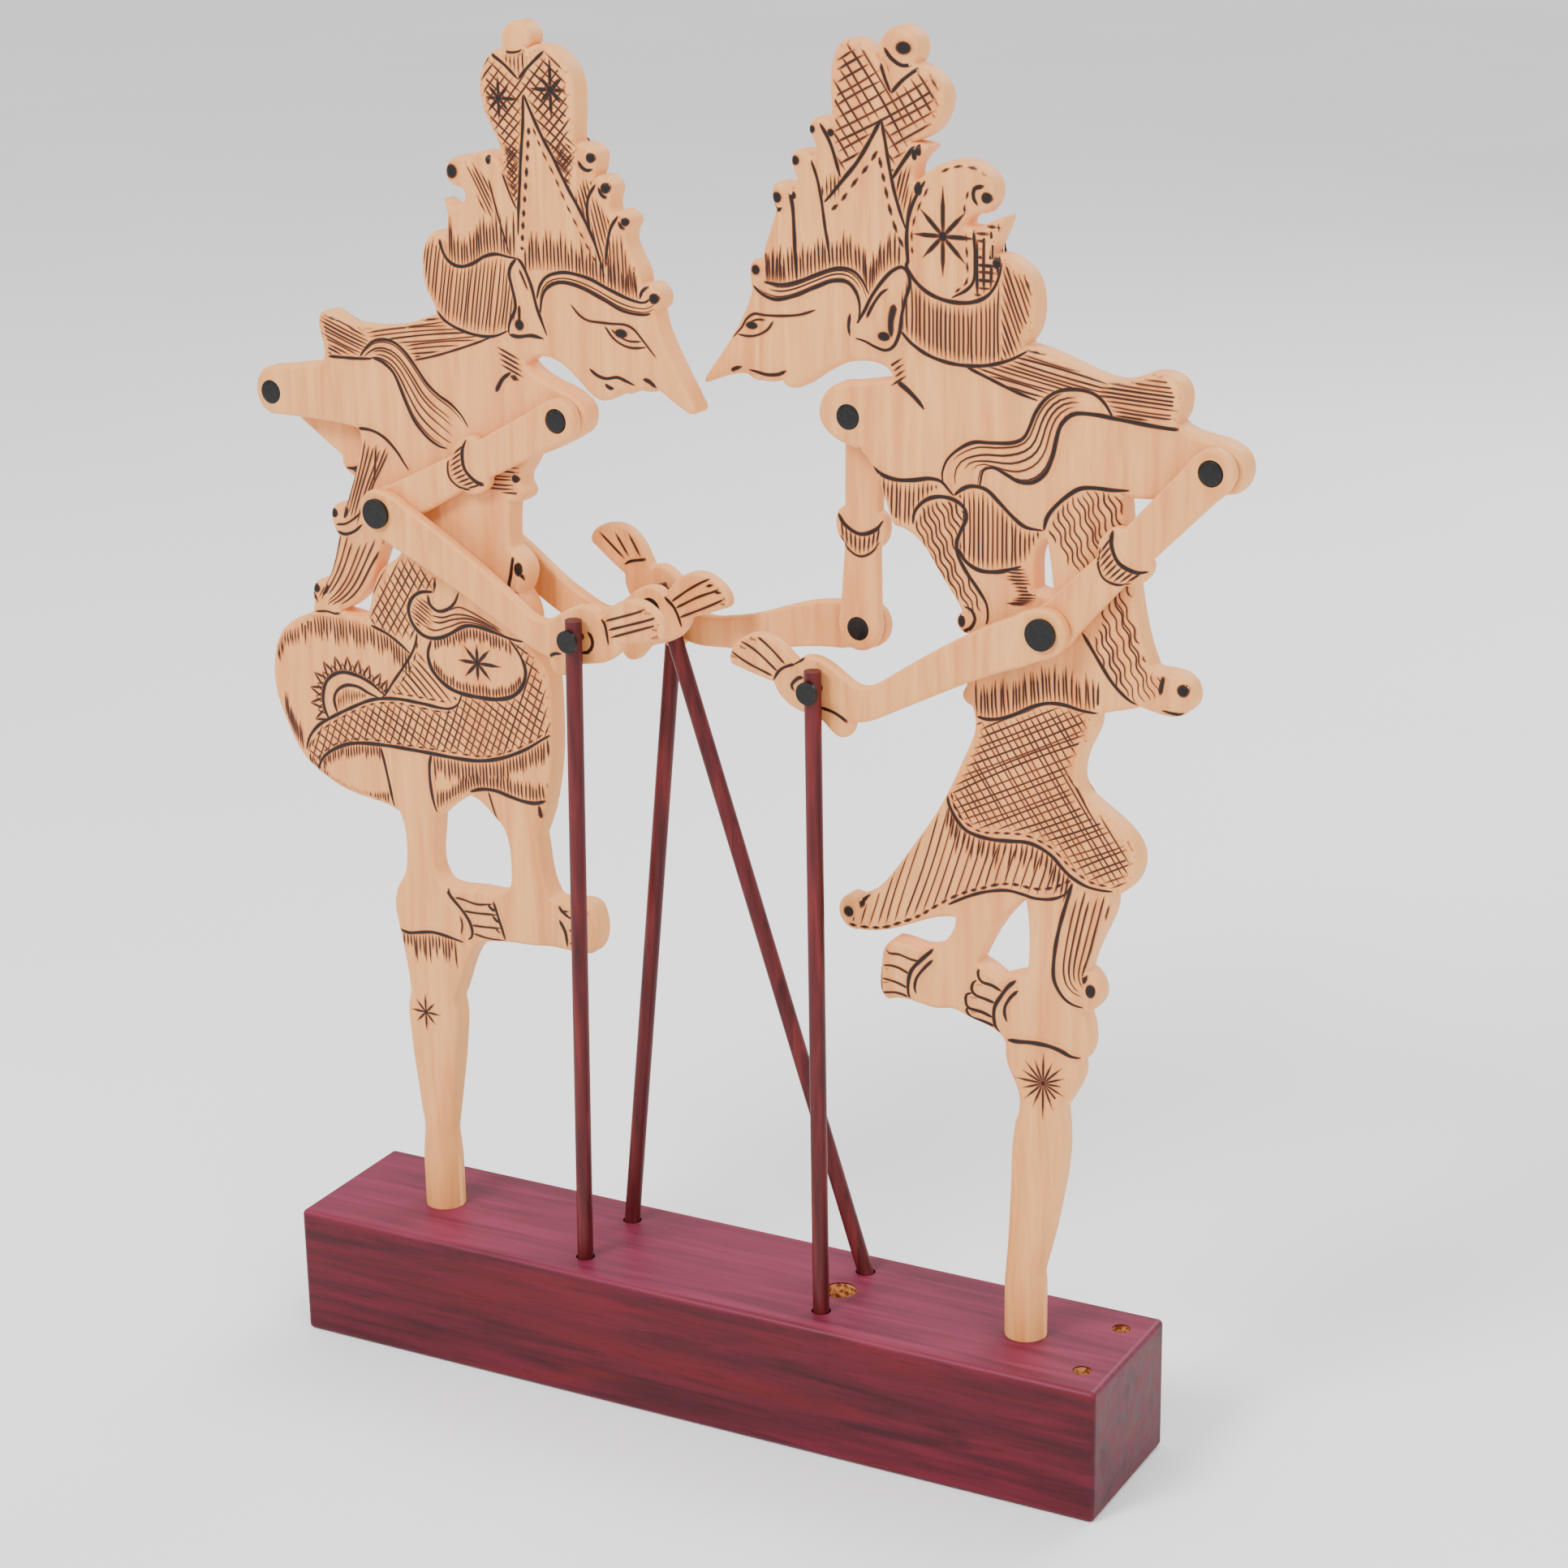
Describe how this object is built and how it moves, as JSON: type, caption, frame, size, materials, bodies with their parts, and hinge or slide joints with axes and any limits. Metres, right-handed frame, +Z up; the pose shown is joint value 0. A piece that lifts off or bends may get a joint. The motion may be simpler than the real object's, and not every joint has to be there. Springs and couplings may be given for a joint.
{
  "type": "wayang rod puppet pair on a stand",
  "caption": "Pair of flat carved wooden rod puppets facing each other, with jointed arms worked by hand rods, standing in one stained block.",
  "frame": {"origin": "centre of the block's underside, which rests on the table", "axes": "+X along the block towards the crowned figure that faces left, -Y to the front, +Z up along the sticks"},
  "size_m": [0.3083, 0.051, 0.3994],
  "materials": {
    "carved_wood": "pale wood with burned lines, thin satin finish",
    "stained_wood": "burgundy stain, satin",
    "stained_rod": "dark burgundy stain, satin",
    "black_pin": "black, slightly glossy"
  },
  "bodies": {
    "stand": {"stand": "stained_wood"},
    "left_puppet": {"left_figure": "carved_wood", "left_front_shoulder_pin": "black_pin", "left_front_shoulder_cap": "black_pin", "left_back_shoulder_pin": "black_pin", "left_back_shoulder_cap": "black_pin"},
    "right_puppet": {"right_figure": "carved_wood", "right_front_shoulder_pin": "black_pin", "right_front_shoulder_cap": "black_pin", "right_back_shoulder_pin": "black_pin", "right_back_shoulder_cap": "black_pin"},
    "left_front_upper": {"left_front_upper_arm": "carved_wood", "left_front_elbow_pin": "black_pin", "left_front_elbow_cap": "black_pin"},
    "left_front_fore": {"left_front_forearm": "carved_wood", "left_front_hand_pin": "black_pin", "left_front_hand_cap": "black_pin"},
    "left_front_rod": {"left_front_rod": "stained_rod"},
    "left_back_upper": {"left_back_upper_arm": "carved_wood", "left_back_elbow_pin": "black_pin", "left_back_elbow_cap": "black_pin"},
    "left_back_fore": {"left_back_forearm": "carved_wood", "left_back_hand_pin": "black_pin", "left_back_hand_cap": "black_pin"},
    "left_back_rod": {"left_back_rod": "stained_rod"},
    "right_front_upper": {"right_front_upper_arm": "carved_wood", "right_front_elbow_pin": "black_pin", "right_front_elbow_cap": "black_pin"},
    "right_front_fore": {"right_front_forearm": "carved_wood", "right_front_hand_pin": "black_pin", "right_front_hand_cap": "black_pin"},
    "right_front_rod": {"right_front_rod": "stained_rod"},
    "right_back_upper": {"right_back_upper_arm": "carved_wood", "right_back_elbow_pin": "black_pin", "right_back_elbow_cap": "black_pin"},
    "right_back_fore": {"right_back_forearm": "carved_wood", "right_back_hand_pin": "black_pin", "right_back_hand_cap": "black_pin"},
    "right_back_rod": {"right_back_rod": "stained_rod"}
  },
  "joints": [
    {"name": "left_lift", "type": "slide", "parent": "stand", "child": "left_puppet", "axis": [0, 0, 1], "range_m": [0, 0.045]},
    {"name": "right_lift", "type": "slide", "parent": "stand", "child": "right_puppet", "axis": [0, 0, 1], "range_m": [0, 0.045]},
    {"name": "left_front_shoulder_turn", "type": "hinge", "parent": "left_puppet", "child": "left_front_upper", "pos_m": [-0.03718, -0.01033, 0.2907], "axis": [-0.0698, -0.9976, 0], "range_deg": [-18.3, 0]},
    {"name": "left_front_elbow_turn", "type": "hinge", "parent": "left_front_upper", "child": "left_front_fore", "pos_m": [-0.09773, -0.01041, 0.2587], "axis": [-0.0698, -0.9976, 0], "range_deg": [0, 45]},
    {"name": "left_front_rod_turn", "type": "hinge", "parent": "left_front_fore", "child": "left_front_rod", "pos_m": [-0.02887, -0.02048, 0.2321], "axis": [-0.0698, -0.9976, 0], "range_deg": [-27.7, 0]},
    {"name": "left_back_shoulder_turn", "type": "hinge", "parent": "left_puppet", "child": "left_back_upper", "pos_m": [-0.14035, 0.00951, 0.2876], "axis": [-0.0698, -0.9976, 0], "range_deg": [-17.6, 0]},
    {"name": "left_back_elbow_turn", "type": "hinge", "parent": "left_back_upper", "child": "left_back_fore", "pos_m": [-0.08787, 0.01016, 0.252], "axis": [-0.0698, -0.9976, 0], "range_deg": [0, 45]},
    {"name": "left_back_rod_turn", "type": "hinge", "parent": "left_back_fore", "child": "left_back_rod", "pos_m": [-0.01788, 0.01052, 0.2358], "axis": [-0.0698, -0.9976, 0], "range_deg": [-28.4, 0]},
    {"name": "right_front_shoulder_turn", "type": "hinge", "parent": "right_puppet", "child": "right_front_upper", "pos_m": [0.1529, -0.00911, 0.2945], "axis": [0.0523, 0.9986, 0], "range_deg": [-13.8, 0]},
    {"name": "right_front_elbow_turn", "type": "hinge", "parent": "right_front_upper", "child": "right_front_fore", "pos_m": [0.10833, -0.01108, 0.2482], "axis": [0.0523, 0.9986, 0], "range_deg": [0, 45]},
    {"name": "right_front_rod_turn", "type": "hinge", "parent": "right_front_fore", "child": "right_front_rod", "pos_m": [0.04125, -0.01282, 0.2243], "axis": [0.0523, 0.9986, 0], "range_deg": [-32.2, 0]},
    {"name": "right_back_shoulder_turn", "type": "hinge", "parent": "right_puppet", "child": "right_back_upper", "pos_m": [0.0472, 0.00904, 0.2973], "axis": [0.0523, 0.9986, 0], "range_deg": [-4.2, 0]},
    {"name": "right_back_elbow_turn", "type": "hinge", "parent": "right_back_upper", "child": "right_back_fore", "pos_m": [0.04513, 0.01346, 0.2368], "axis": [0.0523, 0.9986, 0], "range_deg": [0, 35]},
    {"name": "right_back_rod_turn", "type": "hinge", "parent": "right_back_fore", "child": "right_back_rod", "pos_m": [-0.0208, 0.02217, 0.2323], "axis": [0.0523, 0.9986, 0], "range_deg": [-31.8, 0]}
  ],
  "couplings": [
    {"joint": "left_front_shoulder_turn", "follows": "left_front_elbow_turn", "ratio": -0.395},
    {"joint": "left_front_rod_turn", "follows": "left_front_elbow_turn", "ratio": -0.605},
    {"joint": "left_back_shoulder_turn", "follows": "left_back_elbow_turn", "ratio": -0.38},
    {"joint": "left_back_rod_turn", "follows": "left_back_elbow_turn", "ratio": -0.62},
    {"joint": "right_front_shoulder_turn", "follows": "right_front_elbow_turn", "ratio": -0.295},
    {"joint": "right_front_rod_turn", "follows": "right_front_elbow_turn", "ratio": -0.705},
    {"joint": "right_back_shoulder_turn", "follows": "right_back_elbow_turn", "ratio": -0.105},
    {"joint": "right_back_rod_turn", "follows": "right_back_elbow_turn", "ratio": -0.895}
  ]
}
